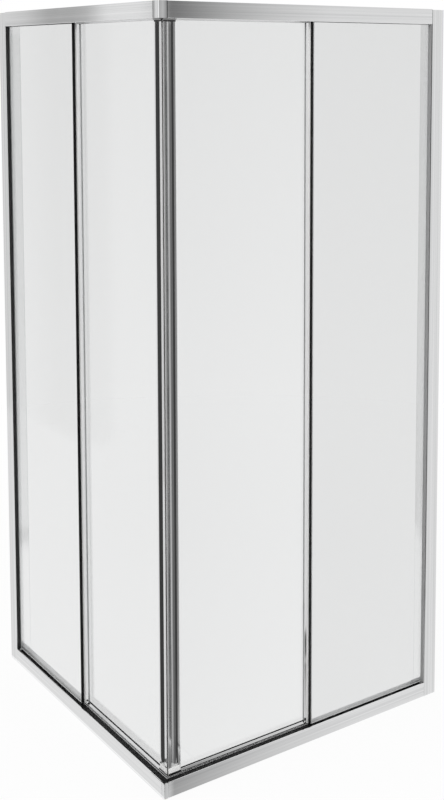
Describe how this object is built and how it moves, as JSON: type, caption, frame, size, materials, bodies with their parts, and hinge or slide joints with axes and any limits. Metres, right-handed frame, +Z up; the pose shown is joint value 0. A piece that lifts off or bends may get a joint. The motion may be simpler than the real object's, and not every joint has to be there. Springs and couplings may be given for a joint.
{
  "type": "shower enclosure",
  "caption": "Square corner-entry shower enclosure with fixed glass panes, framed sliding doors on rollers, silver rails and magnetic strips that close on the corner.",
  "frame": {"origin": "centre of the square footprint, at tray level", "axes": "+Z up; the front side runs along X at -Y and the left side along Y at -X, so the entry corner is at -X -Y and the room walls are at +X and +Y"},
  "size_m": [0.88, 0.88, 1.9],
  "materials": {
    "silver_aluminium": "bright anodised, drawn",
    "cast_chrome": "chrome plated",
    "steel": "plain stainless",
    "safety_glass": "clear, polished",
    "black_rubber": "matt",
    "black_plastic": "matt",
    "white_plastic": "smooth",
    "roller_plastic": "smooth"
  },
  "bodies": {
    "frame": {"front_wall_profile": "silver_aluminium", "front_side_frame": "silver_aluminium", "front_top_rail": "silver_aluminium", "front_bottom_rail": "silver_aluminium", "front_lock_screws": "steel", "front_rail_screws": "steel", "front_fixed_glass": "safety_glass", "front_fixed_gasket": "black_rubber", "front_edge_strip": "black_rubber", "front_infill_strips": "black_plastic", "front_door_stops": "black_rubber", "left_wall_profile": "silver_aluminium", "left_side_frame": "silver_aluminium", "left_top_rail": "silver_aluminium", "left_bottom_rail": "silver_aluminium", "left_lock_screws": "steel", "left_rail_screws": "steel", "left_fixed_glass": "safety_glass", "left_fixed_gasket": "black_rubber", "left_edge_strip": "black_rubber", "left_infill_strips": "black_plastic", "left_door_stops": "black_rubber", "top_corner_connector": "cast_chrome", "bottom_corner_connector": "cast_chrome", "corner_screws": "steel"},
    "front_door": {"front_closing_stile": "silver_aluminium", "front_stile_caps": "white_plastic", "front_rear_stile": "silver_aluminium", "front_top_member": "silver_aluminium", "front_bottom_member": "silver_aluminium", "front_door_glass": "safety_glass", "front_door_gasket": "black_rubber", "front_magnetic_strip": "white_plastic", "front_rear_wiper": "white_plastic", "front_door_screws": "steel", "front_hangers": "steel", "front_carriers": "steel", "front_axles": "steel"},
    "front_top_roller_closing": {"front_top_roller_closing": "roller_plastic"},
    "front_top_roller_rear": {"front_top_roller_rear": "roller_plastic"},
    "front_lower_roller_closing": {"front_lower_roller_closing": "roller_plastic"},
    "front_lower_roller_rear": {"front_lower_roller_rear": "roller_plastic"},
    "left_door": {"left_closing_stile": "silver_aluminium", "left_stile_caps": "white_plastic", "left_rear_stile": "silver_aluminium", "left_top_member": "silver_aluminium", "left_bottom_member": "silver_aluminium", "left_door_glass": "safety_glass", "left_door_gasket": "black_rubber", "left_magnetic_strip": "white_plastic", "left_rear_wiper": "white_plastic", "left_door_screws": "steel", "left_hangers": "steel", "left_carriers": "steel", "left_axles": "steel"},
    "left_top_roller_closing": {"left_top_roller_closing": "roller_plastic"},
    "left_top_roller_rear": {"left_top_roller_rear": "roller_plastic"},
    "left_lower_roller_closing": {"left_lower_roller_closing": "roller_plastic"},
    "left_lower_roller_rear": {"left_lower_roller_rear": "roller_plastic"}
  },
  "joints": [
    {"name": "front_door_slide", "type": "slide", "parent": "frame", "child": "front_door", "axis": [1, 0, 0], "range_m": [0, 0.36]},
    {"name": "left_door_slide", "type": "slide", "parent": "frame", "child": "left_door", "axis": [0, 1, 0], "range_m": [0, 0.36]},
    {"name": "front_top_roller_closing_turn", "type": "hinge", "parent": "front_door", "child": "front_top_roller_closing", "pos_m": [-0.34475, -0.3988, 1.8828], "axis": [0, 1, 0], "range_deg": [0, 2580]},
    {"name": "front_top_roller_rear_turn", "type": "hinge", "parent": "front_door", "child": "front_top_roller_rear", "pos_m": [-0.034, -0.3988, 1.8828], "axis": [0, 1, 0], "range_deg": [0, 2580]},
    {"name": "front_lower_roller_closing_turn", "type": "hinge", "parent": "front_door", "child": "front_lower_roller_closing", "pos_m": [-0.34475, -0.41, 0.0128], "axis": [0, 1, 0], "range_deg": [0, 2580]},
    {"name": "front_lower_roller_rear_turn", "type": "hinge", "parent": "front_door", "child": "front_lower_roller_rear", "pos_m": [-0.034, -0.41, 0.0128], "axis": [0, 1, 0], "range_deg": [0, 2580]},
    {"name": "left_top_roller_closing_turn", "type": "hinge", "parent": "left_door", "child": "left_top_roller_closing", "pos_m": [-0.3988, -0.34475, 1.8828], "axis": [-1, 0, 0], "range_deg": [0, 2580]},
    {"name": "left_top_roller_rear_turn", "type": "hinge", "parent": "left_door", "child": "left_top_roller_rear", "pos_m": [-0.3988, -0.034, 1.8828], "axis": [-1, 0, 0], "range_deg": [0, 2580]},
    {"name": "left_lower_roller_closing_turn", "type": "hinge", "parent": "left_door", "child": "left_lower_roller_closing", "pos_m": [-0.41, -0.34475, 0.0128], "axis": [-1, 0, 0], "range_deg": [0, 2580]},
    {"name": "left_lower_roller_rear_turn", "type": "hinge", "parent": "left_door", "child": "left_lower_roller_rear", "pos_m": [-0.41, -0.034, 0.0128], "axis": [-1, 0, 0], "range_deg": [0, 2580]}
  ],
  "couplings": [
    {"joint": "front_top_roller_closing_turn", "follows": "front_door_slide", "rad_per_m": 125},
    {"joint": "front_top_roller_rear_turn", "follows": "front_door_slide", "rad_per_m": 125},
    {"joint": "front_lower_roller_closing_turn", "follows": "front_door_slide", "rad_per_m": 125},
    {"joint": "front_lower_roller_rear_turn", "follows": "front_door_slide", "rad_per_m": 125},
    {"joint": "left_top_roller_closing_turn", "follows": "left_door_slide", "rad_per_m": 125},
    {"joint": "left_top_roller_rear_turn", "follows": "left_door_slide", "rad_per_m": 125},
    {"joint": "left_lower_roller_closing_turn", "follows": "left_door_slide", "rad_per_m": 125},
    {"joint": "left_lower_roller_rear_turn", "follows": "left_door_slide", "rad_per_m": 125}
  ]
}
